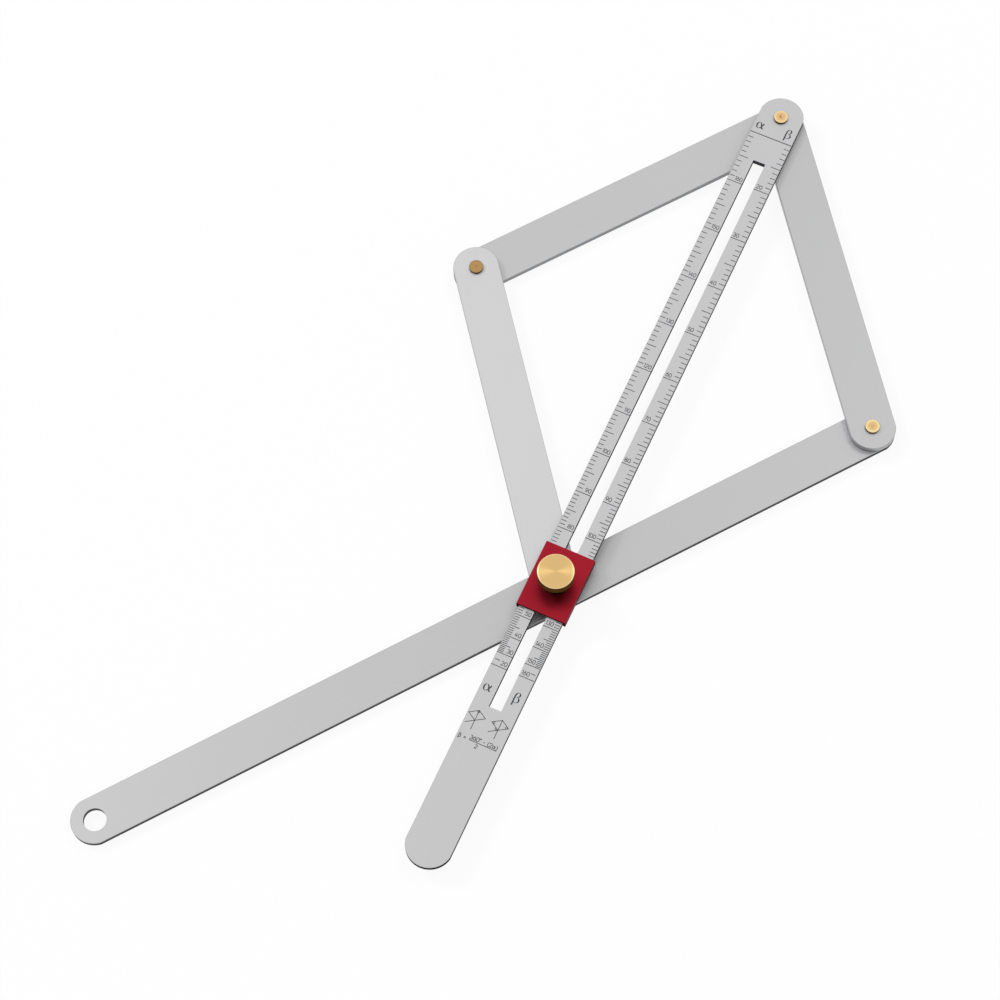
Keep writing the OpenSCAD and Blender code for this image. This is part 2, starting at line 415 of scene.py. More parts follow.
@dataclass(frozen=True)
class TurnedBrass(Finish):
    """Brass faced on a lathe: fine rings round the piece's axis, which draw each reflection out across them
    into a bright bow through the centre. A paler ring at the edge is a painted highlight, and the sides take
    a dark brown that is painted shade. The piece's UV map runs outwards from the axis. The rim's radii are
    the start and the end of its change, and the roughness is that of the face and of the rim."""

    centre: Pair
    colour: str = "#DBB87B"
    # The side's dark brown is painted shade
    wall: str = "#5A3D1B"
    wall_edge: float = 0.5
    # A real facing cut leaves rings about 0.1 mm apart. They are drawn wider so that they show.
    ring_mm: float = 0.24
    ring_tone: Pair = (0.97, 1.03)
    ring_relief: float = 0.2
    ring_depth_mm: float = 0.01
    rim: Pair = (7.4, 7.7)
    # The rim's paler colour is a painted highlight
    rim_colour: str = "#F0D0A0"
    roughness: Pair = (0.22, 0.55)
    anisotropy: float = 0.85

    def paint(self, tree: NodeTree, shader: Node) -> None:
        """Adds the rings as a fine height and tone pattern.

        Args:
            tree: The material's node tree.
            shader: Its Principled node.
        """
        way = across_axis(tree, self.centre)
        rings = add_node(tree, "TexWave",
                         {"Vector": way, "Scale": 2 * np.pi / (WAVE_TURN * self.ring_mm * MM)},
                         wave_type="RINGS", rings_direction="Z").outputs["Fac"]
        rim = rise(tree, way, self.rim)
        tone, rough = (add_node(tree, "MapRange", {"Value": value, "To Min": low, "To Max": high})
                       for value, (low, high) in ((rings, self.ring_tone), (rim, self.roughness)))
        colour = add_node(tree, "Mix", {0: rim, MIX_A: linear(self.colour), MIX_B: linear(self.rim_colour)},
                          data_type="RGBA").outputs[MIX_RESULT]
        face = add_node(tree, "VectorMath", {0: colour, "Scale": tone}, operation="SCALE")
        face_and_wall(shader, face, linear(self.wall), self.wall_edge, upward=True)
        bump = add_node(tree, "Bump", {"Strength": self.ring_relief, "Height": rings,
                                       "Distance": self.ring_depth_mm * MM})
        tangent = add_node(tree, "Tangent", direction_type="UV_MAP", uv_map="UVMap")
        feed(shader, {"Roughness": rough, "Normal": bump, "Tangent": tangent,
                      "Anisotropic": self.anisotropy})


@dataclass(frozen=True)
class RivetHead:
    """The look of one rivet's head: its node, its face's colour, the colour of its rolled outer ring, and
    how much darker its middle is. The face's and the ring's colours are painted light and shade, set for how
    brightly that rivet is lit."""

    node: str
    face: str
    ring: str
    dent_tone: float


@dataclass(frozen=True)
class FormedBrass(Finish):
    """Brass formed cold, as wire upset into rivet heads and as strip pressed into washers: smooth and warm,
    with a hazy bloom, and walls painted darker as shade. On a rivet's head the dent in the middle and the
    outer ring have tones of their own, the ring's a painted light and shade, and their radii are the start
    and the end of each change."""

    colour: str = "#D8B07C"
    wall: str = "#523613"
    wall_edge: float = 0.6
    roughness: Pair = (0.26, 0.4)
    # Handling leaves its haze in patches about as wide as a fingerprint's ridges.
    haze_mm: float = 0.5
    haze_detail: float = 4.0
    haze_tone: Pair = (0.9, 1.1)
    haze_relief: float = 0.2
    haze_depth_mm: float = 0.02
    head: RivetHead | None = None
    dent: Pair = (0.3, 1.1)
    ring: Pair = (1.8, 2.6)

    def paint(self, tree: NodeTree, shader: Node) -> None:
        """Mixes the face's colour with the wall's and hazes it.

        Args:
            tree: The material's node tree.
            shader: Its Principled node.
        """
        haze, tone, rough = mottle(tree, add_node(tree, "TexCoord").outputs["Object"],
                                   1 / (self.haze_mm * MM), self.haze_detail, self.haze_tone, self.roughness)
        colour = linear(self.colour)[:3]
        if self.head is not None:
            way = across_axis(tree, middle_of(self.head.node))
            dull = rise(tree, way, self.dent, self.head.dent_tone)
            tone = add_node(tree, "Math", {0: tone, 1: dull}, operation="MULTIPLY")
            colour = add_node(tree, "Mix", {0: rise(tree, way, self.ring), MIX_A: linear(self.colour),
                                            MIX_B: linear(self.head.ring)},
                              data_type="RGBA").outputs[MIX_RESULT]
        face = add_node(tree, "VectorMath", {0: colour, "Scale": tone}, operation="SCALE")
        face_and_wall(shader, face, linear(self.wall), self.wall_edge)
        bump = add_node(tree, "Bump", {"Strength": self.haze_relief, "Height": haze,
                                       "Distance": self.haze_depth_mm * MM})
        feed(shader, {"Roughness": rough, "Normal": bump})


@dataclass(frozen=True)
class PlatedSteel(Finish):
    """Cold formed steel, bright zinc plated: a cool grey, a little cloudy where the plating varies."""

    colour: str = "#A9ABB0"
    roughness: Pair = (0.25, 0.4)
    # The plating's grain is finer than 0.1 mm. Its clouds are drawn wider so that they show.
    cloud_mm: float = 0.8
    cloud_detail: float = 3.0
    cloud_tone: Pair = (0.85, 1.1)

    def paint(self, tree: NodeTree, shader: Node) -> None:
        """Clouds the plating's colour and gloss.

        Args:
            tree: The material's node tree.
            shader: Its Principled node.
        """
        _, tone, rough = mottle(tree, add_node(tree, "TexCoord").outputs["Object"],
                                1 / (self.cloud_mm * MM), self.cloud_detail, self.cloud_tone, self.roughness)
        colour = add_node(tree, "VectorMath", {0: linear(self.colour)[:3], "Scale": tone}, operation="SCALE")
        feed(shader, {"Base Color": colour, "Roughness": rough, "Metallic": 1.0})


@dataclass(frozen=True)
class LaserMark(Finish):
    """Lines burnt dark into the anodised skin by a laser: matt, and a little uneven from spot to spot."""

    colour: str = "#38393C"
    roughness: float = 0.75
    # A marking laser's spot is about 0.05 mm wide. The spots are drawn wider so that they show.
    spot_mm: float = 0.12
    spot_detail: float = 2.0
    spot_tone: Pair = (0.75, 1.25)

    def paint(self, tree: NodeTree, shader: Node) -> None:
        """Varies the mark's darkness from spot to spot.

        Args:
            tree: The material's node tree.
            shader: Its Principled node.
        """
        _, tone = mottle(tree, add_node(tree, "TexCoord").outputs["Object"], 1 / (self.spot_mm * MM),
                         self.spot_detail, self.spot_tone)
        colour = add_node(tree, "VectorMath", {0: linear(self.colour)[:3], "Scale": tone}, operation="SCALE")
        feed(shader, {"Base Color": colour, "Roughness": self.roughness})


# Folded sheet, brushed and dyed red in the anodising: a deep, even red with a broad soft sheen, and walls
# painted dark red as shade
SLIDER_FINISH = AnodisedAluminium("red anodised aluminium", "#981F2C", "#4A0A12", 0.43,
                                  roughness=(0.29, 0.39), grain_mm=0.25)
# Stamped from brass strip: bright and warm, a little hazy from handling
WASHER_FINISH = FormedBrass("pressed brass")
# The clamp's washer under the nut, painted dark brown as the shade that falls there: dark, with little shine
SHADED_WASHER_FINISH = FormedBrass("brass washer in painted shade", colour="#4E361B", wall="#2E1C09")
# Turned or stamped steel with a thin zinc plating: cool, bright and slightly clouded
STEEL_FINISH = PlatedSteel("bright zinc plated steel")
# A laser's line in the anodised skin: dark grey and matt, whatever the light does on the metal round it
MARK_FINISH = LaserMark("laser marked oxide")


# The sub-assemblies


class Heading(Enum):
    """The way that a bar runs across the tool as its frame draws it."""

    UPRIGHT = 0
    FALLING = -1
    RISING = 1


@dataclass(frozen=True)
class Bar:
    """One flat bar: its node, the way it runs and is brushed, its tone, and its sheared walls' colour and
    reflection. The tone and the walls' look are painted light and shade, set for how that bar is lit.
    """

    node: str
    heading: Heading
    flat: str
    wall: str
    wall_edge: float


@dataclass
class Bars:
    """The five flat bars that make the rhombus and its two long limbs, each brushed along its own length."""

    pieces: tuple[Bar, ...] = (
        # Flat tones and walls are painted light and shade, set per bar: walls facing away from the key light
        # are dark
        Bar("scale_bar", Heading.UPRIGHT, "#B3B3B4", "#48494C", 0.28),
        Bar("left_short_arm", Heading.RISING, "#B6B6B7", "#8A8B8E", 1.0),
        Bar("right_short_arm", Heading.FALLING, "#ADADAE", "#A9AAAD", 1.0),
        Bar("cross_arm", Heading.FALLING, "#BBBBBC", "#8A8B8E", 1.0),
        Bar("long_arm", Heading.RISING, "#B4B4B5", "#48494C", 0.62),
    )

    def build(self) -> None:
        """Dresses the bars' CAD solids. A slanting bar runs as the line from the top pivot, the origin, to
        the right one does, or as its mirror image."""
        pivot = np.abs(middle_of("right_rivet"))
        out, along = (float(part) for part in pivot / np.linalg.norm(pivot))
        for bar in self.pieces:
            grain = (out, bar.heading.value * along) if bar.heading.value else (0.0, 1.0)
            # Stock brushed along its length and anodised clear: a soft pale grey that turns with the light
            finish = AnodisedAluminium(f"brushed aluminium of the {bar.node}", bar.flat, bar.wall,
                                       bar.wall_edge, grain=grain)
            finish.dress(bar.node)
            LOG.info("bar: %s, brushed %s", bar.node, bar.heading.name.lower())


@dataclass
class Pivots:
    """The three riveted pivots with the washers that keep their bars apart."""

    heads: tuple[RivetHead, ...] = (
        # Each rivet's face and ring colours are painted light and shade, set for how brightly that rivet is
        # lit
        RivetHead("top_rivet", "#D5B07E", "#E4C894", 0.5),
        RivetHead("left_rivet", "#AF8955", "#A4875A", 0.85),
        RivetHead("right_rivet", "#D0AF79", "#E0CC98", 0.85),
    )
    brass_nodes: tuple[str, ...] = ("top_backing_washer", "left_backing_washer", "right_backing_washer")
    steel_nodes: tuple[str, ...] = ("top_lower_spacer", "top_upper_spacer", "left_spacer", "right_spacer")

    def build(self) -> None:
        """Dresses the rivets and their backing washers in brass and the spacers in plated steel."""
        for head in self.heads:
            # Wire upset with a flat punch: warm and smooth, darker in the middle, with face and ring colours
            # painted as light
            finish = FormedBrass(f"headed brass of the {head.node}", colour=head.face, head=head)
            finish.dress(head.node)
        WASHER_FINISH.dress(*self.brass_nodes)
        STEEL_FINISH.dress(*self.steel_nodes)
        LOG.info("pivots: rivets, %s", ", ".join(self.brass_nodes + self.steel_nodes))


@dataclass
class ThumbNut:
    """The brass nut: a knurled head with a faced top on a plain neck, bored blind from below."""

    axis: Pair = field(default_factory=lambda: middle_of("thumb_nut"))
    foot_z: float = 12.9
    neck_r: float = 4.5
    neck_h: float = 6.8
    head_r: float = 8.2
    head_h: float = 5.0
    knurl_depth: float = 0.3
    knurl_count: int = 64
    steps_per_tooth: int = 6
    edge: float = 0.25
    arc_stop: float = 10.0
    band_inset: float = 0.45
    crease: float = 35.0
    bore_r: float = 2.05
    bore_depth: float = 9.5
    facing_rows: int = 14
    edge_rows: int = 5

    def profile(self) -> np.ndarray:
        """The nut's outline from the centre of its top, down the outside and back up the bore. The soft edges
        are quarter circles that stop a few degrees short of the knurled band.

        Returns:
            Rows of radius, height and the share of the knurl's depth there.
        """
        foot, edge = self.foot_z, self.edge
        shoulder = foot + self.neck_h
        top = shoulder + self.head_h
        band_r = self.head_r - self.knurl_depth / 2
        flat_r = band_r - edge
        face = np.column_stack([np.linspace(0, flat_r, self.facing_rows), np.full(self.facing_rows, top)])
        upper = arc((flat_r, top - edge), (edge, edge), 90, self.arc_stop, self.edge_rows)[1:]
        band = [(band_r, top - self.band_inset), (band_r, shoulder + self.band_inset)]
        lower = arc((flat_r, shoulder + edge), (edge, edge), -self.arc_stop, -90, self.edge_rows)
        fillet = arc((self.neck_r + edge, shoulder - edge), (edge, edge), 90, 180, self.edge_rows)
        neck = [(self.neck_r, foot + edge), (self.neck_r - edge, foot)]
        bore = [(self.bore_r + edge, foot), (self.bore_r, foot + edge),
                (self.bore_r, foot + self.bore_depth - 2 * edge), (0, foot + self.bore_depth)]
        outline = np.vstack([face, upper, band, lower, fillet, neck, bore])
        share = np.zeros(len(outline))
        first = len(face) + len(upper)
        share[first:first + len(band)] = 1
        return np.column_stack([outline, share])

    def build_mesh(self) -> Object:
        """Turns the profile round the axis. A point at turn t is (r cos t, r sin t, z), where the knurl's
        triangle wave, from -1 to 1 over one tooth, adds half its depth to r on the band. The two ends of the
        profile lie on the axis and close as fans.

        Returns:
            The nut, with a UV map that runs outwards from the axis.
        """
        rows = self.profile()
        turns = self.knurl_count * self.steps_per_tooth
        part = np.arange(turns) / self.steps_per_tooth
        tooth = 1 - 4 * np.abs(part % 1 - 0.5)
        inner = rows[1:-1]
        radius = inner[:, 0, None] + inner[:, 2, None] * tooth[None, :] * self.knurl_depth / 2
        turn = 2 * np.pi * np.arange(turns) / turns
        grid = np.stack([self.axis[0] + radius * np.cos(turn), self.axis[1] + radius * np.sin(turn),
                         np.broadcast_to(inner[:, 1, None], radius.shape)], axis=2)
        poles = [[*self.axis, height] for height in rows[[0, -1], 1]]
        points = np.vstack([grid.reshape(-1, 3), poles])
        around = np.arange(turns)[:, None]
        quad_rows = np.arange(len(inner) - 1)[:, None, None] + (0, 1, 1, 0)
        quad_steps = around + (0, 0, 1, 1)
        quads = (quad_rows * turns + quad_steps % turns).reshape(-1, 4)
        centre, last = np.full(turns, len(points) - 2), (len(inner) - 1) * turns
        cap = np.column_stack([centre, (around + (0, 1)) % turns])
        base = np.column_stack([centre + 1, last + (around + (1, 0)) % turns])
        piece = mesh_piece("thumb_nut_turned", points, quads.tolist() + cap.tolist() + base.tolist(), "nut")
        along = np.concatenate([[0], np.cumsum(np.linalg.norm(np.diff(rows[:, :2], axis=0), axis=1))])
        along /= along[-1]
        u = [np.broadcast_to(along[quad_rows + 1], (len(inner) - 1, turns, 4)).ravel(),
             np.tile([0, along[1], along[1]], turns), np.tile([1, along[-2], along[-2]], turns)]
        v = [np.tile(quad_steps.ravel(), len(inner) - 1), (around + (0.5, 0, 1)).ravel(),
             (around + (0.5, 1, 0)).ravel()]
        uv = np.column_stack([np.concatenate(u), np.concatenate(v) / turns])
        layer = piece.data.uv_layers.new(name="UVMap")
        layer.data.foreach_set("uv", uv.ravel())
        piece.data.shade_smooth()
        piece.data.set_sharp_from_angle(angle=np.radians(self.crease))
        return piece

    def build(self) -> None:
        """Builds the turned nut in the place of the CAD one."""
        piece = self.build_mesh()
        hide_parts("thumb_nut")
        # Bar faced and knurled on a lathe: bright gold, with a bow of light through the centre of its rings,
        # a painted highlight round its rim and painted shade on its knurled side
        TurnedBrass("turned brass", centre=self.axis).dress(piece)
        WASHER_FINISH.dress("thumb_nut")
        LOG.info("piece: %s", piece.name)


@dataclass
class Clamp:
    """The red slider on the slotted bar, with the stud, washers and nut that clamp it."""

    nut: ThumbNut = field(default_factory=ThumbNut)
    steel_nodes: tuple[str, ...] = ("clamp_stud", "clamp_lower_spacer", "clamp_upper_spacer")

    def build(self) -> None:
        """Dresses the slider, the brass washer and the steel pieces, and builds the nut."""
        SLIDER_FINISH.dress("slider")
        SHADED_WASHER_FINISH.dress("pressure_washer")
        STEEL_FINISH.dress(*self.steel_nodes)
        self.nut.build()
        LOG.info("clamp: slider, pressure_washer, %s", ", ".join(self.steel_nodes))


class Glyphs:
    """Single-line figures and letters, one unit tall, as a scale engraver draws them. Each entry holds the
    figure's width and its strokes, and a stroke is its points and whether it closes on itself."""

    ALPHA = ([(1.1, 0.95), (0.98, 0.62), (0.72, 0.2), (0.42, 0.0), (0.14, 0.14), (0.03, 0.5), (0.14, 0.86),
              (0.4, 1.0), (0.64, 0.86), (0.82, 0.5), (0.98, 0.12), (1.1, 0.02), (1.2, 0.14)],)
    BETA = ([(0.12, -0.5), (0.12, 0.1), (0.12, 0.8), (0.2, 1.3), (0.46, 1.55), (0.72, 1.42), (0.76, 1.12),
             (0.6, 0.9), (0.4, 0.84)],
            [(0.4, 0.84), (0.7, 0.76), (0.86, 0.46), (0.76, 0.12), (0.5, -0.04), (0.26, 0.0), (0.12, 0.14)])
    ALPHA_AMONG_FIGURES = (0.64, 0.68)
    BETA_AMONG_FIGURES = 0.68

    @staticmethod
    def straight(*points: Pair) -> tuple[np.ndarray, bool]:
        """An open stroke of straight stretches."""
        return np.array(points), False

    @classmethod
    def table(cls) -> dict[str, tuple[float, list[tuple[np.ndarray, bool]]]]:
        """Draws every figure.

        Returns:
            For each character, its width and its strokes.
        """
        bowl = arc((0.34, 0.33), (0.32, 0.33), 180, 516, 21)
        stem = flowing([(0.52, 1.0), (0.28, 0.82), (0.09, 0.58), (0.02, 0.33)])
        turned = [np.array([0.66, 1.0]) - line for line in (bowl, stem)]
        two = np.vstack([arc((0.33, 0.7), (0.31, 0.3), 165, -35), [(0.0, 0.0), (0.68, 0.0)]])
        three = np.vstack([arc((0.31, 0.745), (0.28, 0.255), 155, -80),
                           arc((0.31, 0.26), (0.34, 0.26), 80, -155)])
        five = np.vstack([[(0.6, 1.0), (0.13, 1.0), (0.07, 0.56)], arc((0.3, 0.33), (0.36, 0.33), 110, -145)])
        zero = np.vstack([arc((0.33, 0.66), (0.33, 0.34), 0, 180, 11),
                          arc((0.33, 0.34), (0.33, 0.34), 180, 360, 11)])
        return {
            "0": (0.66, [(zero, True)]),
            "1": (0.22, [cls.straight((0.0, 0.8), (0.2, 1.0), (0.2, 0.0))]),
            "2": (0.68, [(two, False)]),
            "3": (0.65, [(three, False)]),
            "4": (0.7, [cls.straight((0.48, 1.0), (0.02, 0.3), (0.7, 0.3)),
                        cls.straight((0.51, 0.62), (0.51, 0.0))]),
            "5": (0.66, [(five, False)]),
            "6": (0.66, [(bowl, True), (stem, False)]),
            "7": (0.64, [cls.straight((0.02, 1.0), (0.64, 1.0), (0.24, 0.0))]),
            "8": (0.66, [(ring((0.33, 0.75), (0.27, 0.25), 15), True),
                         (ring((0.33, 0.26), (0.33, 0.26), 15), True)]),
            "9": (0.66, [(turned[0], True), (turned[1], False)]),
            "°": (0.26, [(ring((0.13, 0.88), (0.13, 0.13), 12), True)]),
            "-": (0.5, [cls.straight((0.0, 0.42), (0.5, 0.42))]),
            "=": (0.6, [cls.straight((0.0, 0.55), (0.6, 0.55)), cls.straight((0.0, 0.27), (0.6, 0.27))]),
            "(": (0.26, [(arc((0.46, 0.42), (0.44, 0.7), 122, 238), False)]),
            ")": (0.26, [(arc((-0.2, 0.42), (0.44, 0.7), 58, -58), False)]),
            "α": (0.8, [(flowing(knots) * cls.ALPHA_AMONG_FIGURES, False) for knots in cls.ALPHA]),
            "β": (0.66, [(flowing(knots) * cls.BETA_AMONG_FIGURES, False) for knots in cls.BETA]),
            " ": (0.3, []),
        }


@dataclass
class BarFace:
    """The slotted bar's top face, and how the laser writes on it. Places are across the bar from its middle
    and along it from the top pivot, where all marks are at negative ones. A mark goes a hair into the face
    and stands a hair proud of it, so that it renders cleanly."""

    flat_half: float = 10.05
    slot_half: float = 2.9
    top: float = 10.8
    proud: float = 0.015
    sunk: float = 0.01
    ramp: float = 0.01
    step: float = 0.003
    steps: int = 4
    glyphs: dict = field(default_factory=Glyphs.table)

    def line(self, points: np.ndarray | list, width: np.ndarray | float, closed: bool = False) -> Solid:
        """A marked line. Its top rises along it, so that where it crosses itself one stretch lies clear."""
        high = self.top + self.proud + np.linspace(0, self.ramp, len(points))
        return ribbon(np.array(points, float), width, self.top - self.sunk, high, closed)

    def piece(self, name: str, solids: list[Solid]) -> None:
        """Makes one piece from marked lines and dresses it. Each line's top is a small step above the last
        one's, starting again after a few, so that crossing lines share no face.

        Args:
            name: The piece's name.
            solids: Its lines.
        """
        stepped = [Solid(s.points + np.outer(s.points[:, 2] > self.top, (0, 0, self.step * (i % self.steps))),
                         s.faces) for i, s in enumerate(solids)]
        whole = Solid.joined(stepped)
        made = mesh_piece(name, whole.points, whole.faces.tolist(), "scale_bar")
        MARK_FINISH.dress(made)
        LOG.info("piece: %s, %d lines", name, len(solids))

    def text_width(self, text: str, unit: float, tracking: float) -> float:
        """The width of a line of text, whose unit is in millimetres and its tracking in units."""
        return unit * (sum(self.glyphs[c][0] for c in text) + tracking * (len(text) - 1))

    def text(self, text: str, corner: Pair, units: Pair, line_width: float, tracking: float) -> list[Solid]:
        """A line of figures, read with the top pivot upwards.

        Args:
            text: The characters.
            corner: The start of the first one, on their baseline.
            units: Size of a character's unit across the bar and along it.
            line_width: The strokes' width.
            tracking: The gap between two characters, in units.

        Returns:
            The strokes' solids.
        """
        left, baseline = corner
        solids = []
        for character in text:
            width, strokes = self.glyphs[character]
            for points, closed in strokes:
                solids.append(self.line(points * units + (left, baseline), line_width, closed))
            left += units[0] * (width + tracking)
        return solids


@dataclass
class DegreeScale(BarFace):
    """Both rails' degree lines, and the figures at their tens. A line lies where the slider's reading edge
    comes at its angle."""

    side_length: float = 158.4
    reading_edge: float = 15.8
    tick_width: float = 0.32
    limit_width: float = 0.4
    short_tick: float = 2.5
    middle_tick: float = 4.4
    widest: int = 170
    closest_ticks: int = 30
    narrowest: int = 20
    figure_h: float = 1.87
    figure_aspect: float = 0.87
    figure_lift: float = 1.0
    figure_width: float = 0.28
    tracking: float = 0.24
    alpha_inset: float = 0.7
    beta_inset: float = 0.75
    # A dash half way between the narrowest angle's line and the next one
    dash: Pair = (0.6, 2.8)

    def below(self, angle: float) -> float:
        """How far below the top pivot the edge is at an angle: 2 s cos(angle / 2) less half the slider."""
        return 2 * self.side_length * np.cos(np.radians(angle) / 2) - self.reading_edge

    def on_rails(self, angle: float, start: float, end: float) -> list[Solid]:
        """A line at an angle's place on each rail, between two distances in from the bar's sides."""
        y = -self.below(angle)
        return [self.line([(rail.value * (self.flat_half - inset), y) for inset in (start, end)],
                          self.tick_width) for rail in Rail]

    def ticks(self) -> list[Solid]:
        """Draws the degree lines: short, longer at fives and whole at tens, with one across at the end.

        Returns:
            The lines.
        """
        solids = []
        whole = self.flat_half - self.slot_half
        for angle in (*range(self.closest_ticks, self.widest), self.narrowest):
            reach = self.short_tick if angle % 5 else self.middle_tick if angle % 10 else whole
            solids += self.on_rails(angle, 0.0, reach)
        y = -self.below(self.widest)
        solids.append(self.line([(-self.flat_half, y), (self.flat_half, y)], self.limit_width))
        return solids + self.on_rails((self.closest_ticks + self.narrowest) / 2, *self.dash)

    def numerals(self) -> list[Solid]:
        """Writes the pivot's angle on the left at each ten degrees, and its supplement on the right.

        Returns:
            The figures.
        """
        solids = []
        units = (self.figure_h * self.figure_aspect, self.figure_h)
        for angle in range(self.narrowest, self.widest, 10):
            baseline = self.figure_lift - self.below(angle)
            start = -self.slot_half - self.alpha_inset - self.text_width(str(angle), units[0], self.tracking)
            for label, left in ((str(angle), start), (str(180 - angle), self.slot_half + self.beta_inset)):
                solids += self.text(label, (left, baseline), units, self.figure_width, self.tracking)
        return solids

    def build(self) -> None:
        """Builds the lines and the figures."""
        self.piece("scale_ticks", self.ticks())
        self.piece("scale_figures", self.numerals())


@dataclass(frozen=True)
class Letter:
    """A letter's strokes, where it starts across the bar and stands along it, and its unit's size."""

    strokes: tuple[list[Pair], ...]
    corner: Pair
    size: Pair


@dataclass
class AngleLetters(BarFace):
    """The two angles' letters at the top of their rails and again at the foot, written with a broad nib."""

    nib_angle: float = 5.0
    nib_thin: float = 0.16
    nib_thick: float = 0.66
    letters: tuple[Letter, ...] = (
        Letter(Glyphs.ALPHA, (-8.75, -9.1), (2.8, 3.2)),
        Letter(Glyphs.BETA, (5.1, -8.9), (3.0, 3.0)),
        Letter(Glyphs.ALPHA, (-8.6, -308.3), (2.8, 3.1)),
        Letter(Glyphs.BETA, (5.1, -308.1), (3.0, 3.0)),
    )

    def stroke(self, knots: list[Pair], letter: Letter) -> Solid:
        """A pen stroke. Its width follows a nib held at one angle: thin plus the difference to thick times
        the squared sine of the angle between the stroke and the nib.

        Args:
            knots: The stroke's knots, in a letter one unit tall.
            letter: The letter that it is part of.

        Returns:
            The stroke's solid.
        """
        points = flowing(knots) * letter.size + letter.corner
        ahead = np.gradient(points, axis=0)
        heading = np.arctan2(ahead[:, 1], ahead[:, 0])
        share = np.sin(heading - np.radians(self.nib_angle)) ** 2
        return self.line(points, self.nib_thin + (self.nib_thick - self.nib_thin) * share)

    def build(self) -> None:
        """Builds the letters."""
        self.piece("scale_letters", [self.stroke(knots, letter)
                                     for letter in self.letters for knots in letter.strokes])


@dataclass
class PlanDrawings(BarFace):
    """Two small plans of the tool as line drawings. Rings mark the angle at the top of the first one, and
    those at the sides and by the clamp of the second."""

    line_width: float = 0.3
    places: Pair = (-5.7, 5.1)
    half_width: float = 3.85
    plan_top: float = -317.5
    plan_foot: float = -322.3
    bar_end: float = -326.6
    limb_reach: float = 0.95
    ring_r: float = 0.42
    ring_points: int = 12
    ring_width: float = 0.24
    top_ring_drop: float = 0.75
    side_ring_inset: float = 0.95
    clamp_ring: Pair = (-1.0, 0.2)

    def build(self) -> None:
        """Draws both plans: the rhombus, the slotted bar through it, the long limb and the rings."""
        solids = []
        top, foot, middle = self.plan_top, self.plan_foot, (self.plan_top + self.plan_foot) / 2
        half, inset, (aside, up) = self.half_width, self.side_ring_inset, self.clamp_ring
        first, second = self.places
        rings = {first: [(first, top - self.top_ring_drop)],
                 second: [(second - half + inset, middle), (second + half - inset, middle),
                          (second + aside, foot + up)]}
        for place in self.places:
            left, right, knot = (place - half, middle), (place + half, middle), (place, foot)
            limb_end = (place - self.limb_reach * half, foot + self.limb_reach * (foot - middle))
            solids.append(self.line([(place, top), left, knot, right], self.line_width, closed=True))
            solids.append(self.line([(place, top), (place, self.bar_end)], self.line_width))
            solids.append(self.line([knot, limb_end], self.line_width))
            solids += [self.line(ring(centre, (self.ring_r, self.ring_r), self.ring_points),
                                 self.ring_width, closed=True) for centre in rings[place]]
        self.piece("plan_drawings", solids)


@dataclass
class AngleRule(BarFace):
    """The rule under the plans, which gives the second angle from the first as a fraction."""

    line_width: float = 0.3
    figure_h: float = 1.8
    lower_h: float = 1.656
    tracking: float = 0.2
    start_corner: Pair = (-9.4, -331.6)
    upper_corner: Pair = (-4.4, -330.5)
    upper_width: float = 12.7
    lower_corner: Pair = (-0.9, -333.5)
    fraction_ends: Pair = (-4.4, 8.4)
    fraction_y: float = -331.05

    def build(self) -> None:
        """Writes the rule, its upper part spread to fill its width."""
        units, width = (self.figure_h, self.figure_h), self.line_width
        upper = "360° - (2α)"
        loose = (self.upper_width - self.text_width(upper, self.figure_h, 0.0)) / (len(upper) - 1)
        solids = self.text("β =", self.start_corner, units, width, self.tracking)
        solids += self.text(upper, self.upper_corner, units, width, loose / self.figure_h)
        solids.append(self.line([(end, self.fraction_y) for end in self.fraction_ends], width))
        solids += self.text("2", self.lower_corner, (self.lower_h, self.lower_h), width, self.tracking)
        self.piece("angle_rule", solids)


# The studio


@dataclass(frozen=True)
class Lamp:
    """A soft box: where it hangs as seen from the tool, how far and how big in metres, and its watts."""

    name: str
    toward: tuple[float, float, float]
    distance: float
    size: float
    power: float

    def build(self, target: Vector) -> None:
        """Hangs the lamp and turns it to the target.

        Args:
            target: The point that it lights, in metres.
        """
        data = bpy.data.lights.new(self.name, "AREA")
        data.shape, data.size, data.energy = "DISK", self.size, self.power
        lamp = placed(self.name, data)
        direction = Vector(self.toward).normalized()
        lamp.location = target + direction * self.distance
        lamp.rotation_euler = direction.to_track_quat("Z", "Y").to_euler()


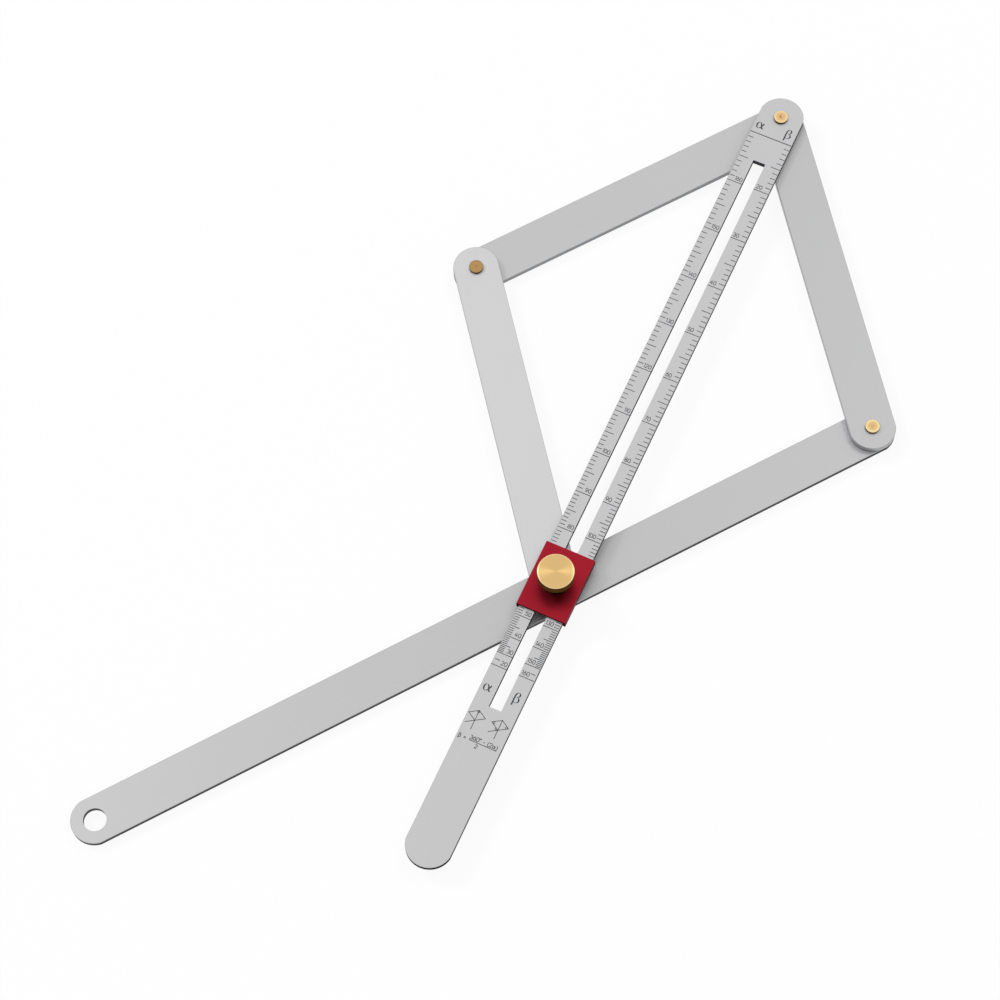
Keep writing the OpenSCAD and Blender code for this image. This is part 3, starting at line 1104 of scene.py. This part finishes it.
@dataclass
class Studio:
    """A white table in a white room, with a soft key light from the left, a weaker one from behind on the
    right, and the camera, whose lens and sensor are in millimetres."""

    target: tuple[float, float, float] = (-0.02, -0.22, 0.0)
    lamps: tuple[Lamp, ...] = (
        Lamp("key", (-0.72, 0.10, 0.68), 5.5, 1.5, 100.0),
        Lamp("fill", (0.235, 0.551, 0.80), 5.5, 1.5, 30.0),
    )
    room_strength: float = 0.75
    floor_size: float = 8.0
    floor_colour: str = "#F4F4F4"
    shown_white: float = 0.9
    camera_place: tuple[float, float, float] = (0.194550, -0.668868, 1.214179)
    azimuth: float = -27.7317
    elevation: float = 67.4263
    roll: float = 3.2380
    lens: float = 107.380
    sensor: float = 36.0
    clip: Pair = (0.05, 50.0)

    def mix_views(self, tree: NodeTree, lit: Node, shown: Node, share: float, output: str) -> None:
        """Mixes what lights the tool with what is seen in its place: rays of the camera, of reflections and
        of glass get a share of the second, and all others the first alone.

        Args:
            tree: The node tree.
            lit: The shader that lights the tool.
            shown: The shader that is seen.
            share: How much of the second those rays get.
            output: The tree's kind of output node.
        """
        path = add_node(tree, "LightPath").outputs
        two = add_node(tree, "Math", {0: path["Is Camera Ray"], 1: path["Is Glossy Ray"]}, operation="ADD")
        seen = add_node(tree, "Math", {0: two, 1: path["Is Transmission Ray"]}, operation="ADD",
                        use_clamp=True)
        part = add_node(tree, "Math", {0: seen, 1: share}, operation="MULTIPLY")
        both = add_node(tree, "MixShader", {0: part, 1: lit, 2: shown})
        add_node(tree, output, {"Surface": both})

    def room(self) -> None:
        """Lights the room evenly, and shows it plain white."""
        world = bpy.data.worlds.new("white room")
        bpy.context.scene.world = world
        world.use_nodes = True
        tree = world.node_tree
        tree.nodes.clear()
        lit, shown = (add_node(tree, "Background", {"Color": WHITE, "Strength": strength})
                      for strength in (self.room_strength, 1.0))
        self.mix_views(tree, lit, shown, 1.0, "OutputWorld")

    def floor(self) -> None:
        """Lays the table, which shows nearly white and keeps the tool's soft shadow."""
        half = self.floor_size / 2
        data = bpy.data.meshes.new("table")
        data.from_pydata([(-half, -half, 0), (half, -half, 0), (half, half, 0), (-half, half, 0)], [],
                         [(0, 1, 2, 3)])
        table = placed("table", data)
        # Board painted matt white: it shows nothing of its own but the tool's soft shadow
        paint = bpy.data.materials.new("matt white table")
        paint.use_nodes = True
        tree = paint.node_tree
        tree.nodes.clear()
        lit = add_node(tree, "BsdfDiffuse", {"Color": linear(self.floor_colour)})
        shown = add_node(tree, "Emission", {"Strength": 1.0})
        self.mix_views(tree, lit, shown, self.shown_white, "OutputMaterial")
        data.materials.append(paint)

    def camera(self) -> None:
        """Sets the camera where the photographer stood. Its right, up and backward axes come from the
        direction of its view, given by azimuth and elevation, turned about that direction by the roll."""
        turn, tilt, roll = np.radians([self.azimuth, self.elevation, self.roll])
        look = np.array([np.sin(turn) * np.cos(tilt), np.cos(turn) * np.cos(tilt), -np.sin(tilt)])
        level = np.array([np.cos(turn), -np.sin(turn), 0.0])
        above = np.cross(level, look)
        right = np.cos(roll) * level - np.sin(roll) * above
        up = np.sin(roll) * level + np.cos(roll) * above
        data = bpy.data.cameras.new("camera")
        data.lens, data.sensor_width, (data.clip_start, data.clip_end) = self.lens, self.sensor, self.clip
        camera = placed("camera", data)
        camera.matrix_world = Matrix.Translation(self.camera_place) @ Matrix(
            np.column_stack([right, up, -look]).tolist()).to_4x4()
        bpy.context.scene.camera = camera

    def build(self) -> None:
        """Builds the room, the table, the lamps and the camera."""
        bpy.context.scene.view_settings.view_transform = "Standard"
        self.room()
        self.floor()
        for lamp in self.lamps:
            lamp.build(Vector(self.target))
        self.camera()
        LOG.info("studio: %d lamps", len(self.lamps))


def main() -> None:
    """Builds the tool's sub-assemblies and the studio, in that order."""
    logging.basicConfig(level=logging.INFO, format="%(name)s: %(message)s")
    for assembly in (Bars(), Pivots(), Clamp(), DegreeScale(), AngleLetters(), PlanDrawings(), AngleRule(),
                     Studio()):
        assembly.build()


if __name__ == "__main__":
    main()
